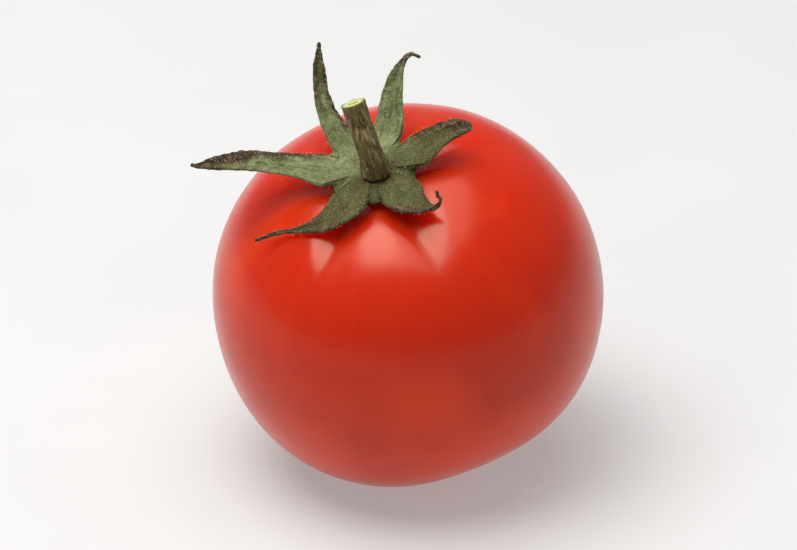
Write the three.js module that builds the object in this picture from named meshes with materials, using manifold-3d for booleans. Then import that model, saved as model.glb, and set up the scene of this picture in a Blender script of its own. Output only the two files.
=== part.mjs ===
// A cherry tomato as picked: the round fruit, the star of six sepals that grew behind the flower,
// and the short length of fruit stalk that was cut off with it.
//
// Millimetres, +Z up. The origin lies on the surface that the fruit rests on, straight below the
// middle of the fruit. The fruit leans on its flank, so the calyx and the stalk are modelled in a
// frame of their own: its origin is just above the bottom of the dimple, its Z runs out along the
// fruit's axis, and its X stays close to the part's X.

import * as THREE from 'three';
import Module from 'manifold-3d';
import { LoftGeometry } from 'three/addons/geometries/LoftGeometry.js';
import { mergeVertices } from 'three/addons/utils/BufferGeometryUtils.js';

const { degToRad } = THREE.MathUtils;

// The fruit.
const FRUIT_WIDTH = 32.5;
const FRUIT_HEIGHT = 30.5; // pole to pole, before the dimple is sunk
const FRUIT_FULLNESS = 2.12; // 2 would be a plain ellipsoid; more fills out the shoulders
const FRUIT_CELLS = 20; // cells along each edge of the cube that is blown up into the fruit

// How it lies: the axis leans this far, towards this bearing, and the weight presses the skin flat.
const LEAN = degToRad(19.3);
const LEAN_TOWARDS = degToRad(-125);
const PRESSED_FLAT = 0.26;

// The dimple round the calyx, and the shallow grooves that run out of it, about one under each sepal.
const DIMPLE_DEPTH = 1.5;
const DIMPLE_REACH = 0.26; // radians from the pole
const GROOVE_BEARINGS = [20, 71, 122, 174, 243, 297].map((degrees) => degToRad(degrees));
const GROOVE_WIDTH = degToRad(11);
const GROOVE_DEPTH = 0.4;
const GROOVE_POLAR = 0.42; // radians from the pole, where a groove is deepest

// Flanks that grew a little flat, as bearings in the fruit's own frame.
const FLANKS = [
  { polar: degToRad(132), bearing: degToRad(-70), depth: 0.7, reach: 0.42 },
  { polar: degToRad(102), bearing: degToRad(58), depth: 0.4, reach: 0.6 },
];

// The calyx.
const SEAT_GAP = 0.3; // between neighbours that touch in the living fruit
const SEPAL_THICKNESS = 0.5;
const SEPAL_THINNING = 0.45; // lost by the tip, as a share of the thickness
const SEPAL_FOLD = 0.3; // how far the margins rise, as a share of the half width
const SEPAL_FOLD_POWER = 1.5; // 1 would be a V and 2 a trough
const SEPAL_STATIONS = 20;
const SEPAL_SIDES = 12;
const BASE_OUTLINE = [[0, 0.05], [1.6, 0.22], [3.1, 0.56], [3.6, 0.82], [3.1, 1.05], [1.6, 1.25], [0, 1.4]];
const BASE_SIDES = 28;

// Each sepal follows a spine from the base out to its tip. Half widths are spaced evenly along it.
const SEPALS = [
  {
    name: 'sepal_left',
    spine: [[-3.95, 0.45, 0.95], [-6.2, 1, 1.55], [-10, 1.5, 2.3], [-14.9, 2, 2.7]],
    halfWidths: [1.9, 1.45, 1.25, 1.2, 0.85, 0.14],
  },
  {
    name: 'sepal_back_left',
    spine: [[-2.15, 3.4, 0.95], [-2.95, 4.6, 1.8], [-3.6, 6.3, 3.1], [-3.65, 8.6, 4.9], [-3.2, 10.1, 6.7]],
    halfWidths: [1.35, 1.05, 0.82, 0.66, 0.5, 0.12],
  },
  {
    name: 'sepal_back_right',
    spine: [
      [1.3, 3.8, 0.95], [1.75, 4.8, 1.7], [2.2, 6.2, 3], [3.2, 7.8, 4.7], [4.2, 8.4, 5.4], [4.95, 8, 5.2],
    ],
    halfWidths: [1.35, 1.25, 1, 0.7, 0.26, 0.12],
  },
  {
    name: 'sepal_right',
    spine: [[3.85, 1, 0.95], [5.2, 1.5, 1.45], [6.8, 1.9, 1.9], [8.5, 2.1, 2.2]],
    halfWidths: [1.95, 1.75, 1.45, 1.1, 0.6],
  },
  {
    name: 'sepal_front_right',
    spine: [
      [2.25, -3.3, 0.95], [3.2, -4.4, 0.85], [4.25, -5.1, 0.85], [5.1, -5.4, 1.15], [5.6, -5.4, 1.9],
      [5.45, -5.2, 2.8],
    ],
    halfWidths: [1.9, 1.6, 1, 0.35, 0.2, 0.12],
  },
  {
    name: 'sepal_front_left',
    spine: [
      [-2.1, -3.45, 0.95], [-2.95, -4.15, 0.8], [-4.2, -4.7, 0.6], [-6, -4.6, 0.15], [-8.2, -4, -0.4],
      [-10.4, -3.9, -0.95],
    ],
    halfWidths: [1.75, 1.3, 0.62, 0.26, 0.18, 0.12],
  },
];

// The stalk: it stands on the base with a flared foot, bends back upright, and widens at the cut.
const STALK_SPINE = [[0.35, -0.65, 1.72], [0.3, -0.65, 3.2], [-0.02, 0.25, 5.5], [-0.38, 1.4, 7.65]];
const STALK_RADII = [1.3, 1.04, 0.98, 0.98, 1.04];
const STALK_STATIONS = 16;
const STALK_SIDES = 20;
const PITH_RADIUS = 0.42;
const PITH_TAPER = 0.7; // the radius at the bottom of the hollow, as a share of the radius at the cut
const PITH_DEPTH = 0.5;
const PITH_SIDES = 12;

const skinMaterial = new THREE.MeshStandardMaterial({ color: 0xc42e1b, roughness: 0.22, metalness: 0 });
const sepalMaterial = new THREE.MeshStandardMaterial({ color: 0x62723f, roughness: 0.75, metalness: 0 });
const baseMaterial = new THREE.MeshStandardMaterial({ color: 0x6a8048, roughness: 0.75, metalness: 0 });
const stalkMaterial = new THREE.MeshStandardMaterial({ color: 0x4f4a2b, roughness: 0.7, metalness: 0 });

const wasm = await Module();
wasm.setup();

// A closed geometry as a solid that can be cut.
function toSolid(geometry) {
  const bare = new THREE.BufferGeometry();
  bare.setAttribute('position', geometry.getAttribute('position'));
  bare.setIndex(geometry.getIndex());
  const merged = mergeVertices(bare);
  return new wasm.Manifold(new wasm.Mesh({
    numProp: 3,
    vertProperties: merged.getAttribute('position').array,
    triVerts: Uint32Array.from(merged.getIndex().array),
  }));
}

// A solid back as a geometry.
function toGeometry(solid) {
  const { vertProperties, triVerts } = solid.getMesh();
  const geometry = new THREE.BufferGeometry();
  geometry.setAttribute('position', new THREE.BufferAttribute(vertProperties, 3));
  geometry.setIndex(new THREE.BufferAttribute(triVerts, 1));
  geometry.computeVertexNormals();
  return geometry;
}

// A unit vector at an angle from the pole and a bearing round it.
function bearingVector(polar, bearing) {
  return new THREE.Vector3().setFromSphericalCoords(1, polar, bearing + Math.PI / 2)
    .applyAxisAngle(new THREE.Vector3(1, 0, 0), Math.PI / 2);
}

// A smooth curve through evenly spaced values, read at 0 to 1.
function profile(values) {
  const curve = new THREE.SplineCurve(values.map((value, i) => new THREE.Vector2(i, value)));
  return (share) => curve.getPoint(share).y;
}

// Distance from the fruit's middle to its skin, along a unit vector in the fruit's own frame.
function skinDistance(direction) {
  const polar = Math.acos(THREE.MathUtils.clamp(direction.z, -1, 1));
  const bearing = Math.atan2(direction.y, direction.x);
  const across = (2 * Math.sin(polar)) / FRUIT_WIDTH;
  const along = (2 * Math.abs(Math.cos(polar))) / FRUIT_HEIGHT;
  const body = (across ** FRUIT_FULLNESS + along ** FRUIT_FULLNESS) ** (-1 / FRUIT_FULLNESS);
  const dimple = DIMPLE_DEPTH * Math.exp(-((polar / DIMPLE_REACH) ** 2));
  const reach = (polar / GROOVE_POLAR) ** 2;
  const valley = GROOVE_BEARINGS.reduce((sum, groove) => {
    return sum + Math.exp((2 * (Math.cos(bearing - groove) - 1)) / GROOVE_WIDTH ** 2);
  }, 0);
  const groove = GROOVE_DEPTH * valley * reach * Math.exp(1 - reach);
  const flat = FLANKS.reduce((sum, flank) => {
    const away = direction.angleTo(bearingVector(flank.polar, flank.bearing)) / flank.reach;
    return sum + flank.depth * Math.exp(-(away ** 2));
  }, 0);
  return body - dimple - groove - flat;
}

const axis = bearingVector(LEAN, LEAN_TOWARDS);
const lean = new THREE.Quaternion().setFromUnitVectors(new THREE.Vector3(0, 0, 1), axis);

// The skin as a cube blown up to the fruit's shape, leaning, and standing on Z = 0.
function fruitShape() {
  const geometry = new THREE.BoxGeometry(2, 2, 2, FRUIT_CELLS, FRUIT_CELLS, FRUIT_CELLS);
  const position = geometry.getAttribute('position');
  const point = new THREE.Vector3();
  for (let i = 0; i < position.count; i++) {
    point.fromBufferAttribute(position, i).normalize();
    point.multiplyScalar(skinDistance(point)).applyQuaternion(lean);
    position.setXYZ(i, point.x, point.y, point.z);
  }
  geometry.computeBoundingBox();
  const middle = -geometry.boundingBox.min.z - PRESSED_FLAT;
  geometry.translate(0, 0, middle);
  return { geometry, middle };
}

// The fruit with its lowest skin pressed flat on the surface.
function fruitMesh({ geometry }) {
  const below = new THREE.BoxGeometry(2 * FRUIT_WIDTH, 2 * FRUIT_WIDTH, FRUIT_HEIGHT);
  below.translate(0, 0, -FRUIT_HEIGHT / 2);
  const pressed = toSolid(geometry).subtract(toSolid(below));
  const mesh = new THREE.Mesh(toGeometry(pressed), skinMaterial);
  mesh.name = 'fruit';
  return mesh;
}

// Points and directions along a spine, evenly spaced by length.
function stationsAlong(spine, count) {
  const points = spine.map((point) => new THREE.Vector3(...point));
  const curve = new THREE.CatmullRomCurve3(points, false, 'centripetal');
  return Array.from({ length: count + 1 }, (_, i) => {
    const share = i / count;
    return { share, centre: curve.getPointAt(share), tangent: curve.getTangentAt(share) };
  });
}

// A closed ring round a station; shape gives its offsets sideways and upwards at an angle.
function ring({ centre, tangent }, sideways, sides, shape) {
  const side = sideways.clone().addScaledVector(tangent, -sideways.dot(tangent)).normalize();
  const up = new THREE.Vector3().crossVectors(tangent, side);
  return Array.from({ length: sides }, (_, i) => {
    const [across, rise] = shape((i / sides) * 2 * Math.PI);
    return centre.clone().addScaledVector(side, across).addScaledVector(up, rise);
  });
}

// A leaf-like blade folded up along its middle, thinning towards its tip.
function sepalMesh({ name, spine, halfWidths }) {
  const halfWidthAt = profile(halfWidths);
  const [rootX, rootY] = spine[0];
  const sideways = new THREE.Vector3(-rootY, rootX, 0).normalize();
  const sections = stationsAlong(spine, SEPAL_STATIONS).map((station) => {
    const halfWidth = halfWidthAt(station.share);
    const halfThickness = (SEPAL_THICKNESS / 2) * (1 - SEPAL_THINNING * station.share);
    return ring(station, sideways, SEPAL_SIDES, (angle) => [
      halfWidth * Math.cos(angle),
      halfThickness * Math.sin(angle) + SEPAL_FOLD * halfWidth * Math.abs(Math.cos(angle)) ** SEPAL_FOLD_POWER,
    ]);
  });
  const mesh = new THREE.Mesh(new LoftGeometry(sections, { capStart: true, capEnd: true }), sepalMaterial);
  mesh.name = name;
  return mesh;
}

// The fleshy disc that the sepals share, dished underneath to sit in the dimple.
function baseMesh() {
  const outline = BASE_OUTLINE.map((point) => new THREE.Vector2(...point));
  const geometry = new THREE.LatheGeometry(outline, BASE_SIDES);
  geometry.rotateX(Math.PI / 2);
  const mesh = new THREE.Mesh(geometry, baseMaterial);
  mesh.name = 'calyx_base';
  return mesh;
}

// The cut stalk, with the pith sunk at its end.
function stalkMesh() {
  const radiusAt = profile(STALK_RADII);
  const stations = stationsAlong(STALK_SPINE, STALK_STATIONS);
  const sections = stations.map((station) => {
    const radius = radiusAt(station.share);
    return ring(station, new THREE.Vector3(1, 0, 0), STALK_SIDES, (angle) => [
      radius * Math.cos(angle),
      radius * Math.sin(angle),
    ]);
  });
  const stalk = new LoftGeometry(sections, { capStart: true, capEnd: true });
  const end = stations.at(-1);
  const pith = new THREE.CylinderGeometry(PITH_RADIUS, PITH_TAPER * PITH_RADIUS, 2 * PITH_DEPTH, PITH_SIDES);
  pith.applyQuaternion(new THREE.Quaternion().setFromUnitVectors(new THREE.Vector3(0, 1, 0), end.tangent));
  pith.translate(end.centre.x, end.centre.y, end.centre.z);
  const mesh = new THREE.Mesh(toGeometry(toSolid(stalk).subtract(toSolid(pith))), stalkMaterial);
  mesh.name = 'stalk';
  return mesh;
}

const shape = fruitShape();
const tomato = new THREE.Group();
tomato.add(fruitMesh(shape));

// The calyx sits on the fruit's axis, a gap above the bottom of the dimple.
const calyx = new THREE.Group();
const seat = skinDistance(new THREE.Vector3(0, 0, 1)) + SEAT_GAP;
calyx.quaternion.copy(lean);
calyx.position.copy(axis).multiplyScalar(seat).add(new THREE.Vector3(0, 0, shape.middle));
calyx.add(baseMesh(), stalkMesh(), ...SEPALS.map(sepalMesh));
tomato.add(calyx);

export default tomato;
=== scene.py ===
"""A cherry tomato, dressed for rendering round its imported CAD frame.

Everything is in metres, in the frame's own axes: +Z up from the surface the fruit rests on, and the
stem end leaning towards -Y. The fruit, the calyx, the stalk and the hairs are each made from the
CAD solids they replace, so their places and sizes come from the frame.
"""

import math
import random

import bmesh
import bpy
import numpy as np
from mathutils import Matrix, Vector, kdtree, noise


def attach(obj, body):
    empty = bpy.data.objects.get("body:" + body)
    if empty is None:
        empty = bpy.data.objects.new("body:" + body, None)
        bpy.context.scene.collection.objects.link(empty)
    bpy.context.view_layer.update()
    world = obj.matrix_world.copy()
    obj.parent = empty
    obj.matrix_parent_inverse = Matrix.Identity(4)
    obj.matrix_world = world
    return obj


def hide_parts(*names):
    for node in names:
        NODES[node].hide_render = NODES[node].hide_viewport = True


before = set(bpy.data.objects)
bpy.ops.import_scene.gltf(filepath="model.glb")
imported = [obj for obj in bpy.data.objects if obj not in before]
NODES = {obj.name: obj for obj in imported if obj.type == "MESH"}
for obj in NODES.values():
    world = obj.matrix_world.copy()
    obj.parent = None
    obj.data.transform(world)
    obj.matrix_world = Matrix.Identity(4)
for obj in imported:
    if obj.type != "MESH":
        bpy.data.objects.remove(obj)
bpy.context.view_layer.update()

bl_info = {
    "name": "Cherry tomato",
    "version": (1, 0, 0),
    "blender": (4, 5, 0),
    "location": "3D View > Sidebar > Tomato",
    "description": "Gives the CAD frame of a cherry tomato its skin, calyx, stalk and hairs",
    "category": "Object",
}

MM = 0.001
UP = Vector((0, 0, 1))
SEPALS = [name for name in sorted(NODES) if name.startswith("sepal_")]
WELD = 0.001 * MM  # points closer than this are one point


# ---------------------------------------------------------------- shared tools


def linear(code):
    """A hex sRGB colour as linear red, green, blue."""
    parts = [int(code[i : i + 2], 16) / 255 for i in (1, 3, 5)]
    return [c / 12.92 if c <= 0.04045 else ((c + 0.055) / 1.055) ** 2.4 for c in parts]


def bell(distance, reach):
    """1 at no distance, falling off in a bell curve to about a third at the reach."""
    return math.exp(-((distance / reach) ** 2))


def smoothstep(low, high, value):
    """0 below low, 1 above high, and an even rise between them."""
    share = min(max((value - low) / (high - low), 0.0), 1.0)
    return share * share * (3 - 2 * share)


def activate(obj):
    """Selects one object alone and makes it the active one."""
    bpy.ops.object.select_all(action="DESELECT")
    obj.select_set(True)
    bpy.context.view_layer.objects.active = obj


def shaped(obj, kind, **settings):
    """Adds a modifier, sets it and applies it."""
    activate(obj)
    bpy.ops.object.modifier_add(type=kind)
    modifier = obj.modifiers[-1]
    for key, value in settings.items():
        setattr(modifier, key, value)
    bpy.ops.object.modifier_apply(modifier=modifier.name)


def copy_of(node, name):
    """A merged copy of a CAD node's mesh, as quads, to be worked on."""
    piece = bpy.data.objects.new(name, NODES[node].data.copy())
    piece.data.name = name
    piece.data.materials.clear()
    bpy.context.collection.objects.link(piece)
    activate(piece)
    bpy.ops.object.mode_set(mode="EDIT")
    bpy.ops.mesh.select_all(action="SELECT")
    bpy.ops.mesh.remove_doubles(threshold=WELD)
    bpy.ops.mesh.tris_convert_to_quads(face_threshold=math.radians(40), shape_threshold=math.radians(60))
    bpy.ops.mesh.customdata_custom_splitnormals_clear()
    bpy.ops.object.mode_set(mode="OBJECT")
    return piece


def joined(pieces, name):
    """Several mesh objects made into one."""
    activate(pieces[0])
    for piece in pieces[1:]:
        piece.select_set(True)
    bpy.ops.object.join()
    pieces[0].name = name
    pieces[0].data.name = name
    return pieces[0]


def smooth(obj):
    """Shades an object smooth."""
    activate(obj)
    bpy.ops.object.shade_smooth()


def select_faces(obj, wanted):
    """Goes into edit mode on an object with only the wanted faces selected."""
    activate(obj)
    bpy.ops.object.mode_set(mode="EDIT")
    bpy.ops.mesh.select_mode(type="FACE")
    bpy.ops.mesh.select_all(action="DESELECT")
    bpy.ops.object.mode_set(mode="OBJECT")
    for face in obj.data.polygons:
        face.select = wanted(face)
    bpy.ops.object.mode_set(mode="EDIT")


def keep_value(mesh, name, values):
    """Stores one number for each vertex as an attribute that a material can read."""
    attribute = mesh.attributes.new(name, "FLOAT", "POINT")
    attribute.data.foreach_set("value", values)


def finish_piece(piece, slot, nodes, *materials):
    """Gives a piece its materials and its body, and hides the CAD nodes it stands for. The slot is not used.
    """
    for material in materials:
        if material.name not in piece.data.materials:
            piece.data.materials.append(material)
    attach(piece, "root")
    if nodes:
        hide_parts(*nodes)


# ---------------------------------------------------------------- measures read from the frame


def middle_of(points):
    """The mean of some points."""
    return sum(points, Vector()) / len(points)


def calyx_axis():
    """The middle of the calyx base, and the way the fruit's axis points out of it."""
    corners = [tuple(v.co) for v in NODES["calyx_base"].data.vertices]
    points = np.unique(np.round(corners, 7), axis=0)
    middle = points.mean(axis=0)
    axis = Vector(np.linalg.svd(points - middle)[2][2])
    return Vector(middle), axis if axis.z > 0 else -axis


BASE_MIDDLE, AXIS = calyx_axis()
LEAN = UP.rotation_difference(AXIS)
# The fruit's middle is on its axis, straight above the origin.
FRUIT_MIDDLE = Vector((0, 0, BASE_MIDDLE.z - AXIS.z * BASE_MIDDLE.xy.length / AXIS.xy.length))
SAME_PLANE = 0.001  # faces that meet at less than this, in radians, are one flat face
ROOT_FACES = 6  # a sepal's flat ends have at least so many faces


def flat_root(mesh):
    """The points of the flat face that a sepal starts from: of its flat ends, the one by the base."""
    ends = []
    seen = set()
    for start in mesh.faces:
        if start in seen:
            continue
        group, edge = [start], [start]
        seen.add(start)
        while edge:
            face = edge.pop()
            for other in (f for e in face.edges for f in e.link_faces if f not in seen):
                if face.normal.angle(other.normal) < SAME_PLANE:
                    seen.add(other)
                    edge.append(other)
                    group.append(other)
        if len(group) >= ROOT_FACES:
            ends.append({v for face in group for v in face.verts})
    return min(ends, key=lambda end: min((v.co - BASE_MIDDLE).length for v in end))


def cad_rings(node):
    """The rings of points that a sepal's CAD solid was drawn with, from its root to its tip."""
    mesh = bmesh.new()
    mesh.from_mesh(NODES[node].data)
    bmesh.ops.remove_doubles(mesh, verts=mesh.verts, dist=WELD)
    mesh.normal_update()
    mesh.verts.index_update()
    ring = flat_root(mesh)
    seen = set(ring)
    rings = []
    while ring:
        rings.append([v.co.copy() for v in sorted(ring, key=lambda v: v.index)])
        ring = {e.other_vert(v) for v in ring for e in v.link_edges} - seen
        seen |= ring
    mesh.free()
    return rings


class Station:
    """One place along a sepal: its middle, its sideways and upward directions and half its width."""

    def __init__(self, middle, side, half_width):
        self.middle = middle
        self.side = side
        self.half_width = half_width
        self.tangent = None
        self.up = None


def ring_station(ring, outward):
    """Reads the middle, the sideways direction and the half width off one CAD ring."""
    pairs = [(a, b) for i, a in enumerate(ring) for b in ring[i + 1 :]]
    a, b = max(pairs, key=lambda pair: (pair[1] - pair[0]).length_squared)
    side = (b - a).normalized()
    if side.dot(AXIS.cross(outward)) < 0:
        side.negate()
    halfway = (a + b) / 2
    central = sorted(ring, key=lambda p: abs((p - halfway).dot(side)))[:2]
    return Station((central[0] + central[1]) / 2, side, (b - a).length / 2)


def set_directions(stations):
    """Works out each station's tangent, and the upward direction square to it."""
    last = len(stations) - 1
    for i, station in enumerate(stations):
        ahead = stations[min(i + 1, last)].middle
        behind = stations[max(i - 1, 0)].middle
        station.tangent = (ahead - behind).normalized()
        station.side = (station.side - station.tangent * station.side.dot(station.tangent)).normalized()
        station.up = station.tangent.cross(station.side)


def eased(a, b, c, d, t):
    """A smooth curve through b and c, with a and d before and after them."""
    slope = (c - a) * 0.5
    bend = a - b * 2.5 + c * 2 - d * 0.5
    twist = (b - c) * 1.5 + (d - a) * 0.5
    return b + slope * t + bend * (t * t) + twist * t**3


THINNEST = 0.1 * MM  # half the width of a sepal's tip


def fine_stations(coarse, count):
    """More stations along the same sepal, evenly spaced by share of its CAD rings."""
    last = len(coarse) - 1
    fine = []
    for i in range(count + 1):
        place = min(i / count * last, last - 1e-6)
        k = int(place)
        near = [coarse[min(max(k + j, 0), last)] for j in (-1, 0, 1, 2)]
        middle = eased(*(s.middle for s in near), place - k)
        side = eased(*(s.side for s in near), place - k).normalized()
        half_width = eased(*(s.half_width for s in near), place - k)
        fine.append(Station(middle, side, max(half_width, THINNEST)))
    set_directions(fine)
    return fine


STALK_SIDES = 20
# The stalk's CAD rings from its foot to the cut, their middles, and the way the cut faces.
STALK_RINGS = [ring for ring in cad_rings("stalk") if len(ring) == STALK_SIDES]
STALK_MIDDLES = [middle_of(ring) for ring in STALK_RINGS]
STALK_FOOT, CUT_MIDDLE = STALK_MIDDLES[0], STALK_MIDDLES[-1]
CUT_FACING = (CUT_MIDDLE - STALK_MIDDLES[-2]).normalized()
# The turn from straight up to the way the stalk stands.
STALK_TURN = UP.rotation_difference(CUT_MIDDLE - BASE_MIDDLE)
# Where the flower was: the point of the skin at the other end of the fruit's axis.
BLOSSOM_END = NODES["fruit"].ray_cast(FRUIT_MIDDLE, -AXIS)[1]
# What the calyx stores at each of its points for its finish to read.
LEAF_VALUES = ("along", "across", "dried", "aged_and_shaded")


# ---------------------------------------------------------------- finishes


def plug(tree, node, links):
    """Gives each named input of a node a value, or a link where the value is another node's output."""
    by_identifier = {socket.identifier: socket for socket in node.inputs}
    for key, value in links.items():
        socket = by_identifier.get(key) or node.inputs[key]
        if isinstance(value, bpy.types.NodeSocket):
            tree.links.new(value, socket)
        elif socket.type == "RGBA":
            socket.default_value = (*value[:3], 1)
        else:
            socket.default_value = value


def add(tree, kind, links=None, stops=None, **settings):
    """Adds a node, sets it, plugs its inputs and returns its outputs. Stops fill a colour ramp."""
    node = tree.nodes.new("ShaderNode" + kind)
    for key, value in settings.items():
        setattr(node, key, value)
    if stops:
        ends = node.color_ramp.elements
        ends[0].position, ends[-1].position = stops[0][0], stops[-1][0]
        ends[0].color, ends[-1].color = (*stops[0][1], 1), (*stops[-1][1], 1)
        for place, colour in stops[1:-1]:
            ends.new(place).color = (*colour, 1)
    plug(tree, node, links or {})
    return node.outputs


def new_finish(name, **shader_settings):
    """A new material with its node tree and its shader, on which the steady values are set."""
    material = bpy.data.materials.new(name)
    material.use_nodes = True
    tree = material.node_tree
    shader = tree.nodes["Principled BSDF"]
    plug(tree, shader, {key.replace("_", " "): value for key, value in shader_settings.items()})
    return material, tree, shader


def speckles(tree, place, spacing, disc, odds):
    """Round spots at a spacing: 1 inside one and 0 between them, and the distance from its middle.

    Disc is where a spot ends and where it is full, as shares of the spacing from its middle. Odds are
    the draws, 0 to 1, below which a spot doesn't show and above which it shows fully.
    """
    cells = add(tree, "TexVoronoi", {"Vector": place, "Scale": 1 / spacing})
    spot = {"Value": cells["Distance"], "From Min": disc[0], "From Max": disc[1]}
    inside = add(tree, "MapRange", spot)["Result"]
    draw = add(tree, "SeparateColor", {"Color": cells["Color"]})["Red"]
    shows = add(tree, "MapRange", {"Value": draw, "From Min": odds[0], "From Max": odds[1]})["Result"]
    both = {"Value": inside, "Value_001": shows}
    return add(tree, "Math", both, operation="MULTIPLY")["Value"], cells["Distance"]


def ripe_skin(settings):
    """Ripe tomato skin: a thin waxy cuticle over wet red flesh, so soft gloss over a glow from within."""
    material, tree, shader = new_finish(
        "ripe tomato skin, waxy cuticle",
        IOR=1.5,
        Specular_IOR_Level=0.34,
        Specular_Tint=linear("#fff8e0"),
        Subsurface_Weight=settings.glow,
        Subsurface_Radius=(1.0, 0.1, 0.06),
        Subsurface_Scale=10.0 * MM,
    )
    place = add(tree, "TexCoord")["Object"]
    # The fruit's own frame: Z runs from the blossom end to the stem end.
    in_fruit = {"Vector": place, "Location": FRUIT_MIDDLE, "Rotation": LEAN.to_euler()}
    grown = add(tree, "Mapping", in_fruit, vector_type="TEXTURE")["Vector"]

    # Ripeness varies in soft patches about 9 mm across. The red is also painted deeper towards the stem end
    # and brighter towards the blossom end: painted shade over the top and painted light low down.
    patches = add(tree, "TexNoise", {"Vector": place, "Scale": 1 / (9 * MM), "Detail": 2, "Roughness": 0.4})
    up_fruit = add(tree, "SeparateXYZ", {"Vector": grown})["Z"]
    height_shade_band = {"Value": up_fruit, "From Min": -13 * MM, "From Max": 13 * MM, "To Min": 0.1, "To Max": -0.28}
    painted_height_shade = add(tree, "MapRange", height_shade_band)["Result"]
    ripeness_and_shade = add(tree, "Math", {"Value": patches["Fac"], "Value_001": painted_height_shade}, operation="ADD")["Value"]
    reds = [(0.3, settings.deep), (0.52, settings.ripe), (0.74, settings.bright)]
    colour = add(tree, "ValToRGB", {"Fac": ripeness_and_shade}, stops=reds)["Color"]

    # Faint meridian streaks, about 1.5 mm wide, show the flesh's fibres through the skin.
    flattened = {"Vector": grown, "Vector_001": (1, 1, 0)}
    level = add(tree, "VectorMath", flattened, operation="MULTIPLY")["Vector"]
    heading = add(tree, "VectorMath", {"Vector": level}, operation="NORMALIZE")["Vector"]
    drawn_out = {"Vector": grown, "Vector_001": (0, 0, 1 / (14 * MM))}
    height = add(tree, "VectorMath", drawn_out, operation="MULTIPLY")["Vector"]
    round_fruit = {"Vector": heading, "Vector_001": (11, 11, 11), "Vector_002": height}
    streak_place = add(tree, "VectorMath", round_fruit, operation="MULTIPLY_ADD")["Vector"]
    fibrous = {"Vector": streak_place, "Scale": 1, "Detail": 2, "Roughness": 0.6}
    streaks = add(tree, "TexNoise", fibrous)["Fac"]
    streak_band = {"Value": streaks, "From Min": 0.5, "From Max": 0.72, "To Max": 0.12}
    streak_share = add(tree, "MapRange", streak_band)["Result"]

    # Pale golden flecks under the skin, about 0.2 mm across and 1.3 mm apart. Under half of them show.
    flecks, _ = speckles(tree, place, 1.3 * MM, disc=(0.1, 0.04), odds=(0.55, 0.95))
    fleck_share = add(tree, "Math", {"Value": flecks, "Value_001": 0.3}, operation="MULTIPLY")["Value"]

    # The corky scar where the flower was, 0.7 mm across, fades out by 0.9 mm from the pole.
    from_scar = {"Vector": place, "Vector_001": BLOSSOM_END}
    off_pole = add(tree, "VectorMath", from_scar, operation="DISTANCE")["Value"]
    scar_disc = {"Value": off_pole, "From Min": 0.9 * MM, "From Max": 0.35 * MM}
    scar_share = add(tree, "MapRange", scar_disc)["Result"]

    coats = ((streak_share, settings.bright), (fleck_share, settings.fleck), (scar_share, settings.scar))
    for share, tint in coats:
        layers = {"Factor_Float": share, "A_Color": colour, "B_Color": tint}
        colour = add(tree, "Mix", layers, data_type="RGBA")[2]

    # The wax is patchy, so the gloss varies a little; pores 0.5 mm apart soften it.
    wax = add(tree, "TexNoise", {"Vector": place, "Scale": 1 / (3 * MM), "Detail": 3})["Fac"]
    dull = {"To Min": settings.roughness - 0.03, "To Max": settings.roughness + 0.04}
    gloss = add(tree, "MapRange", {"Value": wax, "From Min": 0.3, "From Max": 0.7, **dull})["Result"]
    pores = add(tree, "TexNoise", {"Vector": place, "Scale": 1 / (0.5 * MM), "Detail": 1})["Fac"]
    relief = add(tree, "Bump", {"Strength": 0.1, "Distance": 0.02 * MM, "Height": pores})["Normal"]
    plug(tree, shader, {"Base Color": colour, "Roughness": gloss, "Normal": relief})
    return material


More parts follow.
